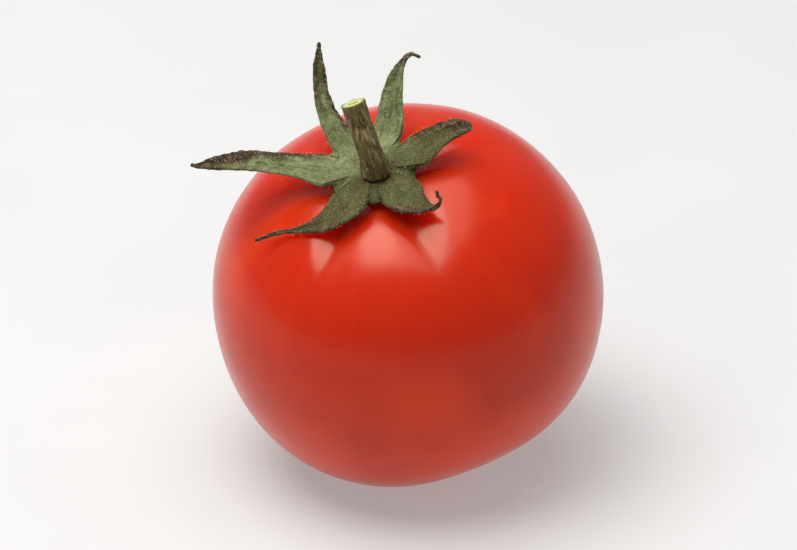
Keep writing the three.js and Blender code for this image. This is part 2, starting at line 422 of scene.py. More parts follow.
def calyx_leaf(settings):
    """Calyx leaf tissue: dull green and downy, browning from the tips and margins as it dries."""
    material, tree, shader = new_finish(
        "calyx leaf tissue, downy and part dried",
        IOR=1.42,
        Specular_IOR_Level=0.15,
        Subsurface_Weight=0.08,
        Subsurface_Radius=(0.5, 1.0, 0.2),
        Subsurface_Scale=0.4 * MM,
        Sheen_Weight=0.06,
        Sheen_Roughness=0.5,
        Sheen_Tint=linear("#e0dcc0"),
    )
    place = add(tree, "TexCoord")["Object"]
    along, across, dried, aged_and_shaded = (add(tree, "Attribute", attribute_name=name)["Fac"] for name in LEAF_VALUES)

    # Leaf green in clouds of about 1.2 mm.
    clouds = add(tree, "TexNoise", {"Vector": place, "Scale": 1 / (1.2 * MM), "Detail": 4, "Roughness": 0.6})
    greens = [(0.3, settings.dark_green), (0.5, settings.green), (0.72, settings.sage)]
    colour = add(tree, "ValToRGB", {"Fac": clouds["Fac"]}, stops=greens)["Color"]

    # Darker mottling between the veins, about 0.35 mm across.
    mottle = add(tree, "TexNoise", {"Vector": place, "Scale": 1 / (0.35 * MM), "Detail": 2})["Fac"]
    mottle_band = {"Value": mottle, "From Min": 0.48, "From Max": 0.66, "To Max": 0.75}
    mottle_share = add(tree, "MapRange", mottle_band)["Result"]

    # Veins run along each sepal: the pattern is fine across it, 0.3 mm apart, and drawn out along it.
    on_sepal = add(tree, "CombineXYZ", {"X": across, "Y": along})["Vector"]
    drawn_out = {"Vector": on_sepal, "Vector_001": (4.5, 1.6, 1)}
    vein_place = add(tree, "VectorMath", drawn_out, operation="MULTIPLY")["Vector"]
    veins = add(tree, "TexNoise", {"Vector": vein_place, "Scale": 1.4, "Detail": 2, "Roughness": 0.5})["Fac"]
    vein_band = {"Value": veins, "From Min": 0.48, "From Max": 0.68, "To Max": 0.5}
    vein_share = add(tree, "MapRange", vein_band)["Result"]

    # The roots of the sepals have stayed paler.
    root_band = {"Value": along, "From Min": 0.5, "From Max": 0.0, "To Max": 0.2}
    root_share = add(tree, "MapRange", root_band)["Result"]

    # Dry tissue, blotched at 0.5 mm, from brown to near black. The same brown carries the painted shade on
    # one margin of each sepal and the painted shadow round the stalk's foot.
    blotchy = {"Vector": place, "Scale": 1 / (0.5 * MM), "Detail": 3, "Roughness": 0.6}
    blotches = add(tree, "TexNoise", blotchy)["Fac"]
    browns = [(0.34, settings.black_brown), (0.52, settings.brown), (0.74, settings.tan)]
    brown = add(tree, "ValToRGB", {"Fac": blotches}, stops=browns)["Color"]
    uneven = {"Value": blotches, "Value_001": 0.9, "Value_002": -0.45}
    patchy = add(tree, "Math", uneven, operation="MULTIPLY_ADD")["Value"]
    dry_and_shade_here = add(tree, "Math", {"Value": dried, "Value_001": patchy}, operation="ADD")["Value"]
    dry_and_shade_share = add(tree, "MapRange", {"Value": dry_and_shade_here, "From Min": 0.25, "From Max": 0.75})["Result"]

    # Hair bases and oil glands, pale dots about 0.1 mm across and 0.19 mm apart. Fewer show where the leaf is
    # olive, which is partly painted shade.
    dots, from_dot = speckles(tree, place, 0.19 * MM, disc=(0.42, 0.16), odds=(0.0, 1.0))
    dot_strength = add(tree, "MapRange", {"Value": aged_and_shaded, "To Min": 0.8, "To Max": 0.32})["Result"]
    dot_share = add(tree, "Math", {"Value": dots, "Value_001": dot_strength}, operation="MULTIPLY")["Value"]

    coats = (
        (mottle_share, settings.dark_green),
        (vein_share, settings.sage),
        (root_share, settings.sage),
        # Olive: partly older leaf, partly painted shade on the sepals that face away from the light.
        (aged_and_shaded, settings.olive),
        (dry_and_shade_share, brown),
        (dot_share, settings.down),
    )
    for share, tint in coats:
        layers = {"Factor_Float": share, "A_Color": colour, "B_Color": tint}
        colour = add(tree, "Mix", layers, data_type="RGBA")[2]

    dull = {"Value": blotches, "From Min": 0.3, "From Max": 0.7, "To Min": 0.55, "To Max": 0.8}
    gloss = add(tree, "MapRange", dull)["Result"]
    heights = add(tree, "Math", {"Value": from_dot, "Value_001": blotches}, operation="ADD")["Value"]
    relief = add(tree, "Bump", {"Strength": 0.5, "Distance": 0.05 * MM, "Height": heights})["Normal"]
    plug(tree, shader, {"Base Color": colour, "Roughness": gloss, "Normal": relief})
    return material


def stalk_bark(settings):
    """Tomato stalk: tough ribbed green skin gone brown, with paler corky streaks along it."""
    material, tree, shader = new_finish(
        "stalk skin, ribbed and browned",
        IOR=1.45,
        Specular_IOR_Level=0.3,
        Sheen_Weight=0.05,
        Sheen_Roughness=0.5,
        Sheen_Tint=linear("#d6d2b4"),
    )
    place = add(tree, "TexCoord")["Object"]
    # Z along the stalk, so that the streaks run up it: 0.25 mm wide and 1.4 mm long.
    streak_size = (0.25 * MM, 0.25 * MM, 1.4 * MM)
    turned = {"Location": BASE_MIDDLE, "Rotation": STALK_TURN.to_euler()}
    in_stalk = {"Vector": place, "Scale": streak_size, **turned}
    up_stalk = add(tree, "Mapping", in_stalk, vector_type="TEXTURE")["Vector"]
    streaks = add(tree, "TexNoise", {"Vector": up_stalk, "Scale": 1, "Detail": 3, "Roughness": 0.55})["Fac"]
    barks = [(0.3, settings.shadow), (0.47, settings.bark), (0.58, settings.olive), (0.76, settings.cork)]
    colour = add(tree, "ValToRGB", {"Fac": streaks}, stops=barks)["Color"]

    # Corky breathing spots, about 0.3 mm wide and 1.7 mm long. Half of them show.
    spots, _ = speckles(tree, up_stalk, 1 / 0.42, disc=(0.34, 0.16), odds=(0.45, 0.7))
    spot_share = add(tree, "Math", {"Value": spots, "Value_001": 0.8}, operation="MULTIPLY")["Value"]
    layers = {"Factor_Float": spot_share, "A_Color": colour, "B_Color": settings.cork}
    colour = add(tree, "Mix", layers, data_type="RGBA")[2]

    dull = {"Value": streaks, "From Min": 0.3, "From Max": 0.7, "To Min": 0.5, "To Max": 0.75}
    gloss = add(tree, "MapRange", dull)["Result"]
    relief = add(tree, "Bump", {"Strength": 0.6, "Distance": 0.06 * MM, "Height": streaks})["Normal"]
    plug(tree, shader, {"Base Color": colour, "Roughness": gloss, "Normal": relief})
    return material


def cut_flesh(settings):
    """Freshly cut stalk: wet pale green flesh, with a whiter ring of fibres and a darker pith, whose darkness
    is painted shade in its hollow.
    """
    material, tree, shader = new_finish(
        "cut stalk end, moist green",
        IOR=1.36,
        Roughness=0.4,
        Subsurface_Weight=0.2,
        Subsurface_Radius=(0.6, 1.0, 0.3),
        Subsurface_Scale=0.4 * MM,
    )
    place = add(tree, "TexCoord")["Object"]
    # Rings out from the middle: sunken pith darkened with painted shade, pale fibres, green flesh and the
    # skin's edge.
    out = add(tree, "VectorMath", {"Vector": place, "Vector_001": CUT_MIDDLE}, operation="DISTANCE")["Value"]
    out_share = add(tree, "MapRange", {"Value": out, "From Max": 1.05 * MM})["Result"]
    rings = [
        (0.3, settings.pith),
        (0.5, settings.cut_pale),
        (0.78, settings.cut_green),
        (0.98, settings.olive),
    ]
    colour = add(tree, "ValToRGB", {"Fac": out_share}, stops=rings)["Color"]
    # Cut fibres, 0.1 mm apart.
    fibres = add(tree, "TexNoise", {"Vector": place, "Scale": 1 / (0.1 * MM), "Detail": 1})["Fac"]
    fibre_band = {"Value": fibres, "From Min": 0.5, "From Max": 0.75, "To Max": 0.5}
    fibre_share = add(tree, "MapRange", fibre_band)["Result"]
    layers = {"Factor_Float": fibre_share, "A_Color": colour, "B_Color": settings.cut_green}
    colour = add(tree, "Mix", layers, data_type="RGBA")[2]
    relief = add(tree, "Bump", {"Strength": 0.5, "Distance": 0.03 * MM, "Height": fibres})["Normal"]
    plug(tree, shader, {"Base Color": colour, "Normal": relief})
    return material


def plant_hair(settings):
    """Plant hairs: clear hollow cells, which look whitish and catch the light."""
    material, tree, shader = new_finish("plant hair, clear and whitish", IOR=1.4, Roughness=0.35)
    place = add(tree, "TexCoord")["Object"]
    # Older and younger hairs stand in patches about 2 mm across.
    tint = add(tree, "TexNoise", {"Vector": place, "Scale": 1 / (2 * MM), "Detail": 1})["Fac"]
    ages = [(0.35, settings.hair_low), (0.65, settings.hair)]
    colour = add(tree, "ValToRGB", {"Fac": tint}, stops=ages)["Color"]
    plug(tree, shader, {"Base Color": colour})
    return material


def studio_floor(settings):
    """Matt white acrylic on a light table: a soft glow from below keeps the shadows pale."""
    material, tree, shader = new_finish(
        "matt white acrylic, lit from below",
        Roughness=0.9,
        Specular_IOR_Level=0.15,
        Emission_Color=linear("#ffffff"),
        Emission_Strength=settings.floor_glow,
    )
    place = add(tree, "TexCoord")["Object"]
    # The sheet is very slightly uneven, in clouds about 20 mm across.
    clouding = add(tree, "TexNoise", {"Vector": place, "Scale": 1 / (20 * MM), "Detail": 3})["Fac"]
    whites = [(0.3, linear("#a8a8a8")), (0.7, linear("#acacac"))]
    colour = add(tree, "ValToRGB", {"Fac": clouding}, stops=whites)["Color"]
    plug(tree, shader, {"Base Color": colour})
    return material


# ---------------------------------------------------------------- settings


def colour_setting(name, description, code):
    """A colour that the sidebar shows, given as hex sRGB."""
    return bpy.props.FloatVectorProperty(
        name=name, description=description, subtype="COLOR", size=3, min=0, max=1, default=linear(code)
    )


def share_setting(name, description, share):
    """A share from 0 to 1 that the sidebar shows."""
    return bpy.props.FloatProperty(
        name=name, description=description, subtype="FACTOR", min=0, max=1, default=share
    )


def length_setting(name, description, millimetres):
    """A length that the sidebar shows, given in millimetres and kept in metres."""
    return bpy.props.FloatProperty(
        name=name, description=description, unit="LENGTH", min=0, default=millimetres * MM
    )


class SkinSettings(bpy.types.PropertyGroup):
    """The fruit's skin"""

    # Deep also serves as painted shade towards the stem end, and bright as painted light towards the blossom
    # end.
    ripe: colour_setting("Ripe", "Red of most of the skin", "#cc3108")
    bright: colour_setting("Bright", "Orange red of the less ripe patches", "#d8390a")
    deep: colour_setting("Deep", "Deep red of the ripest patches", "#bb2406")
    fleck: colour_setting("Fleck", "Golden flecks under the skin", "#c46a35")
    scar: colour_setting("Scar", "Corky flower scar", "#7a5a38")
    glow: share_setting("Glow", "How much light passes through the flesh", 1.0)
    roughness: share_setting("Roughness", "How dull the wax is", 0.23)
    swelling: length_setting("Swelling", "Height of the slight swellings of the skin", 0.09)


class CalyxSettings(bpy.types.PropertyGroup):
    """The base and the sepals"""

    green: colour_setting("Green", "Middle green of the leaf", "#5f673f")
    # Olive is partly older leaf and partly painted shade on the front and right of the calyx, which face away
    # from the light.
    olive: colour_setting("Olive", "Older, darker green of the front of the calyx", "#39320e")
    dark_green: colour_setting("Dark green", "Shaded green of the leaf", "#3a3f20")
    sage: colour_setting("Sage", "Pale green of the veins", "#8a9269")
    down: colour_setting("Down", "Pale dots where hairs stand", "#a5a27c")
    brown: colour_setting("Brown", "Dried leaf", "#403222")
    black_brown: colour_setting("Black brown", "Darkest dried leaf", "#1d160f")
    tan: colour_setting("Tan", "Lightest dried leaf", "#6f5d45")
    thickness: length_setting("Thickness", "Thickness of a sepal along its middle", 0.42)
    grain: length_setting("Grain", "Size of the facets that the calyx is fused from", 0.085)
    web: length_setting("Web", "How far the notches between sepals are filled", 0.3)
    vein: length_setting("Vein", "Depth of the groove along a sepal's middle", 0.07)


class StalkSettings(bpy.types.PropertyGroup):
    """The cut stalk"""

    bark: colour_setting("Bark", "Brown green of the stalk", "#54431f")
    shadow: colour_setting("Shadow", "Darkest streaks", "#251c0f")
    olive: colour_setting("Olive", "Green that still shows", "#5d562c")
    cork: colour_setting("Cork", "Pale corky streaks and spots", "#9a866a")
    cut_pale: colour_setting("Pale fibres", "Ring of fibres in the cut", "#c4cb90")
    cut_green: colour_setting("Cut green", "Flesh of the cut", "#a0aa68")
    # The pith's darker green is painted shade in the sunken middle of the cut.
    pith: colour_setting("Pith", "Sunken middle of the cut", "#6f8340")
    rib: length_setting("Rib", "Height of the ribs", 0.05)
    bury: length_setting("Bury", "How far the foot goes down into the base", 0.8)


class HairSettings(bpy.types.PropertyGroup):
    """The down on the calyx and the stalk"""

    hair: colour_setting("Hair", "Colour of most hairs", "#b9b698")
    hair_low: colour_setting("Hair, darker", "Colour of the older hairs", "#8b8566")
    length: length_setting("Length", "Length of the longest hairs", 0.38)
    radius: length_setting("Radius", "Radius at the root", 0.012)
    on_calyx: bpy.props.IntProperty(name="On calyx", description="Hairs on the calyx", default=1800, min=0)
    on_stalk: bpy.props.IntProperty(name="On stalk", description="Hairs on the stalk", default=260, min=0)


class StageSettings(bpy.types.PropertyGroup):
    """Floor, lights and camera"""

    elevation: bpy.props.FloatProperty(
        name="Elevation",
        description="How far the camera looks down",
        unit="ROTATION",
        default=math.radians(30),
    )
    distance: length_setting("Distance", "From the camera to the fruit", 900)
    view_width: length_setting("View width", "Width of the picture where the fruit is", 66)
    wide_power: bpy.props.FloatProperty(
        name="Wide light", description="Power of the wide overhead light in watts", default=1.2, min=0
    )
    inner_power: bpy.props.FloatProperty(
        name="Inner light", description="Power of the inner overhead light in watts", default=1.0, min=0
    )
    room: bpy.props.FloatProperty(name="Room", description="Brightness of the room", default=0.28, min=0)
    floor_glow: share_setting("Floor glow", "Light that comes up through the floor", 0.3)


# ---------------------------------------------------------------- the fruit

DIMPLE_LIP = 0.2  # radians from the pole, where the grooves are fully deep
FADE_START = 0.16  # radians from the pole, where they start to fade towards their tips
FINE_WIDTH = 0.25  # share of its width that a groove keeps at its tip
# The grooves that run out of the dimple, about one under each sepal: its bearing in the fruit's own
# frame and how far from the pole it reaches, both in degrees, then its depth and its width to the left
# and to the right of its bottom in millimetres.
GROOVES = [
    (20, 36, 0.4, 1.45, 1.45),
    (71, 38, 0.4, 1.45, 1.45),
    (122, 36, 0.4, 1.45, 1.45),
    (174, 38, 0.4, 1.45, 1.45),
    (237, 47, 0.6, 1.5, 1.5),
    (296, 57, 0.6, 1.1, 2.2),
]


def groove_depth(local):
    """How deep the skin lies in a groove at a point given in the fruit's own frame: V-shaped in plan."""
    polar = UP.angle(local)
    bearing = math.atan2(local.y, local.x)
    depth = 0.0
    for degrees, tip, deepest, to_left, to_right in GROOVES:
        left = 1 - smoothstep(FADE_START, math.radians(tip), polar)
        turn = math.remainder(bearing - math.radians(degrees), 2 * math.pi)
        reach = (to_right if turn > 0 else to_left) * MM * (FINE_WIDTH + (1 - FINE_WIDTH) * left)
        aside = abs(turn) * local.xy.length
        depth += deepest * MM * left * smoothstep(0.0, DIMPLE_LIP, polar) * bell(aside, reach)
    return depth


# The swellings are about 9 mm across, with smaller ones on them, and die out where the skin rests.
BROAD_SWELLING = 9 * MM
SMALL_SWELLING = 3.5 * MM
SMALL_SHARE = 0.3
REST_EDGE = (0.1 * MM, 1.5 * MM)
# The flower scar: a shallow hollow with a nib in it, as their heights and widths, and where it ends.
SCAR_HOLLOW = (0.3 * MM, 1.5 * MM)
SCAR_NIB = (0.35 * MM, 0.3 * MM)
SCAR_REACH = 5 * MM
SCAR_FINE = 2.2 * MM  # the skin's mesh is made finer this near to the scar


def swell_skin(mesh, height):
    """Gives the skin slight swellings, grooves and the flower scar, and keeps it on the floor."""
    upright = LEAN.inverted()
    for vertex in mesh.vertices:
        outward = (vertex.co - FRUIT_MIDDLE).normalized()
        uneven = noise.noise(vertex.co / BROAD_SWELLING)
        uneven += SMALL_SHARE * noise.noise(vertex.co / SMALL_SWELLING)
        swelling = height * uneven * smoothstep(*REST_EDGE, vertex.co.z)
        vertex.co += outward * (swelling - groove_depth(upright @ (vertex.co - FRUIT_MIDDLE)))
        away = (vertex.co - BLOSSOM_END).length
        if away < SCAR_REACH:
            hollow = SCAR_HOLLOW[0] * bell(away, SCAR_HOLLOW[1])
            nib = SCAR_NIB[0] * bell(away, SCAR_NIB[1])
            vertex.co -= AXIS * (nib - hollow)
        vertex.co.z = max(vertex.co.z, 0.0)


class TOMATO_OT_fruit(bpy.types.Operator):
    """Makes the fruit's skin from the CAD fruit"""

    bl_idname = "tomato.fruit"
    bl_label = "Make fruit"

    def execute(self, context):
        settings = context.scene.tomato_skin
        skin = copy_of("fruit", "fruit_skin")
        shaped(skin, "SUBSURF", levels=2, render_levels=2)
        select_faces(skin, lambda face: (face.center - BLOSSOM_END).length < SCAR_FINE)
        bpy.ops.mesh.subdivide(number_cuts=3)
        bpy.ops.object.mode_set(mode="OBJECT")
        swell_skin(skin.data, settings.swelling)
        smooth(skin)
        finish_piece(skin, "skin", ["fruit"], ripe_skin(settings))
        return {"FINISHED"}


# ---------------------------------------------------------------- the calyx

# How each sepal has dried and curled: how olive it has gone, which is partly older leaf and partly
# painted shade where the sepal faces away from the light, how far along it the browning starts and how
# dark its tip gets, how brown its margins are, with the darker one first of -1 or 1 across it, that
# margin's extra brown being painted shade on the shaded wall of the fold, how deeply it is folded
# towards the tip, and how its margins ripple in millimetres.
TRAITS = ("olive", "green_to", "browning", "margin", "shaded_side", "fold", "ripple")
CHARACTERS = {
    "sepal_left": (0.1, 0.4, 0.9, 0.85, -1, 0.6, 0.1),
    "sepal_back_left": (0.25, 0.2, 0.7, 0.85, -1, 0.55, 0.08),
    "sepal_back_right": (0.0, 0.6, 0.8, 0.4, 1, 0.5, 0.08),
    "sepal_right": (0.8, 0.4, 1.25, 0.6, 1, 0.5, 0.12),
    "sepal_front_right": (0.75, 0.0, 0.9, 0.8, -1, 0.35, 0.12),
    "sepal_front_left": (0.8, 0.1, 0.9, 0.7, 1, 0.4, 0.1),
}
CHARACTERS = {node: dict(zip(TRAITS, values)) for node, values in CHARACTERS.items()}
ALONG = 76  # steps along a sepal
INWARD = 14  # steps from its root towards the middle of the base
ACROSS = 16  # steps across it
INWARD_REACH = 2.6 * MM
INWARD_RISE = 0.15 * MM
CUPPING = 1.6  # how sharply a fold turns up towards the margins
ROOT_FOLD = 0.3  # a sepal's fold at its root
FOLD_DRAW = 0.18  # how far a fold draws the margins in
NECK_RADIUS = 1.5 * MM
NECK_DEPTH = 1.4 * MM
NECK_DROP = 0.75 * MM  # from the middle of the base to the middle of its neck
WEB_ZONE = (4.2 * MM, 6.2 * MM)  # the webs between the sepals fade out over these distances


def root_stations(first, count):
    """Stations that carry a sepal on from its root towards the middle of the base."""
    inward = BASE_MIDDLE - first.middle
    inward = (inward - AXIS * inward.dot(AXIS)).normalized()
    stations = []
    for i in range(count, 0, -1):
        share = i / count
        middle = first.middle + inward * (INWARD_REACH * share) + AXIS * (INWARD_RISE * share)
        stations.append(Station(middle, first.side.copy(), first.half_width * (1 - 0.5 * share)))
    return stations


def sepal_stations(node):
    """All the stations of one sepal; share is 0 at its root, 1 at its tip and below 0 in the base."""
    rings = cad_rings(node)
    middles = [middle_of(ring) for ring in rings]
    coarse = []
    for i, ring in enumerate(rings):
        ahead = middles[min(i + 1, len(rings) - 1)] - middles[max(i - 1, 0)]
        coarse.append(ring_station(ring, ahead))
    fine = fine_stations(coarse, ALONG)
    for i, station in enumerate(fine):
        station.share = i / ALONG
    inner = root_stations(fine[0], INWARD)
    for i, station in enumerate(inner):
        station.share = (i - INWARD) / ALONG
    stations = inner + fine
    set_directions(stations)
    return stations


def blade(node, stations, settings):
    """One sepal: a sheet laid along its stations, folded and rippled, and given its thickness."""
    bpy.ops.object.select_all(action="DESELECT")
    last = len(stations) - 1
    bpy.ops.mesh.primitive_grid_add(x_subdivisions=last, y_subdivisions=ACROSS, size=1)
    sheet = bpy.context.active_object
    sheet.name = node + "_blade"
    character = CHARACTERS[node]
    seed = 3.7 * SEPALS.index(node)
    thick = sheet.vertex_groups.new(name="thick")
    for vertex in sheet.data.vertices:
        station = stations[round((vertex.co.x + 0.5) * last)]
        across = 2 * vertex.co.y
        share = max(station.share, 0.0)
        fold = ROOT_FOLD + (character["fold"] - ROOT_FOLD) * smoothstep(0.15, 0.75, share)
        ripple = character["ripple"] * MM * smoothstep(0.05, 0.3, share) * abs(across) ** 3
        wave = noise.noise(Vector((share * 5 + seed, 2.0 * (across > 0), 0)))
        lift = fold * station.half_width * abs(across) ** CUPPING + ripple * wave
        reach = station.half_width * across * (1 - FOLD_DRAW * fold * abs(across))
        vertex.co = station.middle + station.side * reach + station.up * lift
        thick.add([vertex.index], (1 - 0.45 * across * across) * (1 - 0.3 * share), "REPLACE")
    shaped(
        sheet,
        "SOLIDIFY",
        thickness=settings.thickness,
        offset=0,
        vertex_group="thick",
        thickness_vertex_group=0.1,
        use_quality_normals=True,
    )
    sheet.vertex_groups.clear()
    return sheet


def neck():
    """The short neck that joins the base to the fruit in the bottom of the dimple."""
    bpy.ops.object.select_all(action="DESELECT")
    bpy.ops.mesh.primitive_cylinder_add(
        vertices=32,
        radius=NECK_RADIUS,
        depth=NECK_DEPTH,
        location=BASE_MIDDLE - AXIS * NECK_DROP,
        rotation=LEAN.to_euler(),
    )
    bpy.ops.object.transform_apply()
    return bpy.context.active_object


def web_zone(obj):
    """Puts the points near the middle of the calyx, where neighbouring sepals join, in a group."""
    group = obj.vertex_groups.new(name="web")
    for vertex in obj.data.vertices:
        away = (vertex.co - BASE_MIDDLE).length
        group.add([vertex.index], 1 - smoothstep(*WEB_ZONE, away), "REPLACE")


MEAN_FOLD = 0.35  # how folded a sepal is on the whole


class SepalMap:
    """Tells, for a point on the calyx, which sepal it is on and where."""

    def __init__(self, stations_of):
        self.stations_of = stations_of
        roots = {node: stations[INWARD].middle - BASE_MIDDLE for node, stations in stations_of.items()}
        self.bearings = {node: root.normalized() for node, root in roots.items()}
        samples = []
        for node, stations in stations_of.items():
            for k, station in enumerate(stations):
                for across in (-1, -0.66, -0.33, 0, 0.33, 0.66, 1):
                    lift = MEAN_FOLD * station.half_width * abs(across) ** CUPPING
                    aside = station.side * (station.half_width * across)
                    samples.append((station.middle + aside + station.up * lift, node, k))
        self.samples = samples
        self.tree = kdtree.KDTree(len(samples))
        for i, (point, _, _) in enumerate(samples):
            self.tree.insert(point, i)
        self.tree.balance()

    def locate(self, point):
        """The sepal's name, its nearest station, and the point's shares along and across it."""
        _, node, k = self.samples[self.tree.find(point)[1]]
        stations = self.stations_of[node]
        station = stations[k]
        ahead = stations[min(k + 1, len(stations) - 1)].middle
        behind = stations[max(k - 1, 0)].middle
        step = (ahead - behind).length / 2
        offset = point - station.middle
        along = station.share + offset.dot(station.tangent) / (step * ALONG)
        across = offset.dot(station.side) / station.half_width
        return node, station, min(max(along, -0.3), 1.0), min(max(across, -1.2), 1.2)

    def olive_and_shade_at(self, node, along, point):
        """How olive the leaf is, partly painted shade: each sepal's own share, with a blend of its
        neighbours' in the middle.
        """
        heading = (point - BASE_MIDDLE).normalized()
        shares = {other: max(heading.dot(bearing), 0.01) ** 5 for other, bearing in self.bearings.items()}
        blend = sum(share * CHARACTERS[other]["olive"] for other, share in shares.items())
        blend /= sum(shares.values())
        own = smoothstep(-0.05, 0.25, along)
        return blend + (CHARACTERS[node]["olive"] - blend) * own


def dryness_and_shade(node, along, across, point):
    """How brown the leaf is here, 0 to 1: at the tips, along the margins, and in patches, with painted shade
    on one margin and a painted shadow round the stalk's foot.
    """
    character = CHARACTERS[node]
    patch = 0.25 * noise.noise(point / (1.4 * MM))
    tip = character["browning"] * smoothstep(character["green_to"], 1.0, along + patch)
    # One margin browns more than the other: the extra brown is painted shade on the wall of the fold that
    # faces away from the light.
    side = 0.7 + 0.3 * math.copysign(1, across * character["shaded_side"])
    edge = smoothstep(0.2, 0.85, abs(across) + 0.8 * patch) * smoothstep(0.0, 0.2, along)
    margin = character["margin"] * side * edge
    # A painted shadow round the foot of the stalk, drawn as brown on the base where the stalk stands on it.
    away = (point - STALK_FOOT).length
    foot = 0.85 * (1 - smoothstep(1.3 * MM, 2.2 * MM, away + 2.5 * MM * patch))
    return min(max(tip + margin + foot, 0.0), 1.0)


MIDDLE_VEIN_WIDTH = 0.16 * MM
SIDE_VEIN_WIDTH = 0.12 * MM
CRINKLE_SIZE = 0.45 * MM


def groom_calyx(calyx, sepal_map, settings):
    """Presses the veins and the crinkles into the fused calyx and stores what its finish reads."""
    values = {name: [] for name in LEAF_VALUES}
    normals = [vertex.normal.copy() for vertex in calyx.data.vertices]
    for vertex, normal in zip(calyx.data.vertices, normals):
        point = vertex.co.copy()
        node, station, along, across = sepal_map.locate(point)
        dried = dryness_and_shade(node, along, across, point)
        off_middle = across * station.half_width
        upper = 1 if normal.dot(station.up) > 0 else -1
        on_blade = smoothstep(-0.12, 0.1, along) * (1 - smoothstep(0.85, 1.0, along))
        off_side_vein = (abs(across) - 0.5) * station.half_width
        groove = settings.vein * bell(off_middle, MIDDLE_VEIN_WIDTH)
        side_veins = 0.4 * settings.vein * bell(off_side_vein, SIDE_VEIN_WIDTH)
        crinkle = noise.noise(point / CRINKLE_SIZE) * (0.02 + 0.07 * dried) * MM
        vertex.co += normal * (on_blade * upper * (side_veins - groove) + crinkle)
        here = (along, across, dried, sepal_map.olive_and_shade_at(node, along, point))
        for name, value in zip(LEAF_VALUES, here):
            values[name].append(value)
    for name, numbers in values.items():
        keep_value(calyx.data, name, numbers)


class TOMATO_OT_calyx(bpy.types.Operator):
    """Fuses the base and the six sepals into one leafy star"""

    bl_idname = "tomato.calyx"
    bl_label = "Make calyx"

    def execute(self, context):
        settings = context.scene.tomato_calyx
        stations_of = {node: sepal_stations(node) for node in SEPALS}
        pieces = [copy_of("calyx_base", "base"), neck()]
        pieces += [blade(node, stations, settings) for node, stations in stations_of.items()]
        calyx = joined(pieces, "calyx")
        # Swelling, fusing and shrinking back by the same amount fills the notches with soft webs.
        web_zone(calyx)
        shaped(calyx, "DISPLACE", strength=settings.web, mid_level=0, vertex_group="web")
        calyx.vertex_groups.clear()
        shaped(calyx, "REMESH", mode="VOXEL", voxel_size=settings.grain)
        shaped(calyx, "SMOOTH", factor=0.5, iterations=4)
        web_zone(calyx)
        shaped(calyx, "DISPLACE", strength=-settings.web, mid_level=0, vertex_group="web")
        calyx.vertex_groups.clear()
        shaped(calyx, "SMOOTH", factor=0.5, iterations=2)
        groom_calyx(calyx, SepalMap(stations_of), settings)
        smooth(calyx)
        finish_piece(calyx, "calyx", ["calyx_base", *SEPALS], calyx_leaf(settings))
        return {"FINISHED"}


# ---------------------------------------------------------------- the stalk

CUT_REACH = 1.03 * max((point - CUT_MIDDLE).length for point in STALK_RINGS[-1])
# The cut end from the skin inwards, as widths and heights: rim, its fall, flesh, and the pith's walls.
CUT_RINGS_MM = ((0.1, 0.03), (0.12, -0.02), (0.3, 0.02), (0.06, -0.12), (0.05, -0.3))
# How far down the foot goes in two steps, as shares, and how much it flares with each.
FOOT_STEPS = ((0.35, 1.12), (0.65, 1.22))
# Faces this near to the cut and to the stalk's middle are cut flesh.
CUT_DEPTH = 0.5 * MM
FLESH_RADIUS = 0.93 * MM


def rebuild_cut(stalk):
    """Replaces the plain cut end by a skin rim, a ring of flesh and a sunken pith."""

    def in_cut(face):
        """Whether a face is part of the plain cut end."""
        corners = [stalk.data.vertices[i].co for i in face.vertices]
        if any((corner - CUT_MIDDLE).length > CUT_REACH for corner in corners):
            return False
        return abs(face.normal.dot(CUT_FACING)) > 0.9 or (face.center - CUT_MIDDLE).length < 0.6 * MM

    select_faces(stalk, in_cut)
    bpy.ops.mesh.delete(type="FACE")
    bpy.ops.mesh.select_mode(type="EDGE")
    bpy.ops.mesh.select_non_manifold(extend=False, use_boundary=True)
    bpy.ops.mesh.edge_face_add()
    for width, rise in CUT_RINGS_MM:
        bpy.ops.mesh.inset(thickness=width * MM, depth=rise * MM)
    bpy.ops.object.mode_set(mode="OBJECT")


def bury_foot(stalk, depth):
    """Draws the foot of the stalk down into the base, flaring a little."""

    def in_foot(face):
        """Whether a face is part of the flat foot: all its corners are on the lowest ring."""
        corners = [stalk.data.vertices[i].co for i in face.vertices]
        off_ring = max(min((corner - point).length for point in STALK_RINGS[0]) for corner in corners)
        return off_ring < 0.01 * MM and (face.center - STALK_FOOT).length < 1.5 * MM

    select_faces(stalk, in_foot)
    for share, growth in FOOT_STEPS:
        down = -AXIS * (depth * share)
        bpy.ops.mesh.extrude_region_move(TRANSFORM_OT_translate={"value": down})
        bpy.ops.transform.resize(value=(growth, growth, growth), center_override=STALK_FOOT + down)
    bpy.ops.object.mode_set(mode="OBJECT")


RIBS = 5
RIB_TWIST = 0.12  # radians that the ribs turn from one CAD ring to the next
CUT_INSIDE = 0.72 * MM  # the ribs leave alone what is nearer than this to the stalk's middle


def rib_stalk(mesh, height):
    """Raises soft ribs along the stalk, and wrinkles its skin."""
    rings = range(len(STALK_MIDDLES))
    forward = AXIS.cross(Vector((0, 1, 0))).normalized()
    for vertex in mesh.vertices:
        nearest = min(rings, key=lambda i: (vertex.co - STALK_MIDDLES[i]).length_squared)
        out = vertex.co - STALK_MIDDLES[nearest]
        if out.length < CUT_INSIDE:
            continue
        ahead = STALK_MIDDLES[min(nearest + 1, rings[-1])]
        behind = STALK_MIDDLES[max(nearest - 1, 0)]
        tangent = (ahead - behind).normalized()
        out = (out - tangent * out.dot(tangent)).normalized()
        angle = math.atan2(out.dot(tangent.cross(forward)), out.dot(forward))
        rib = math.cos(RIBS * angle + RIB_TWIST * nearest) + 0.8 * noise.noise(vertex.co / (0.9 * MM))
        wrinkle = 0.5 * noise.noise(vertex.co / (0.3 * MM))
        vertex.co += out * (height * (rib + wrinkle))


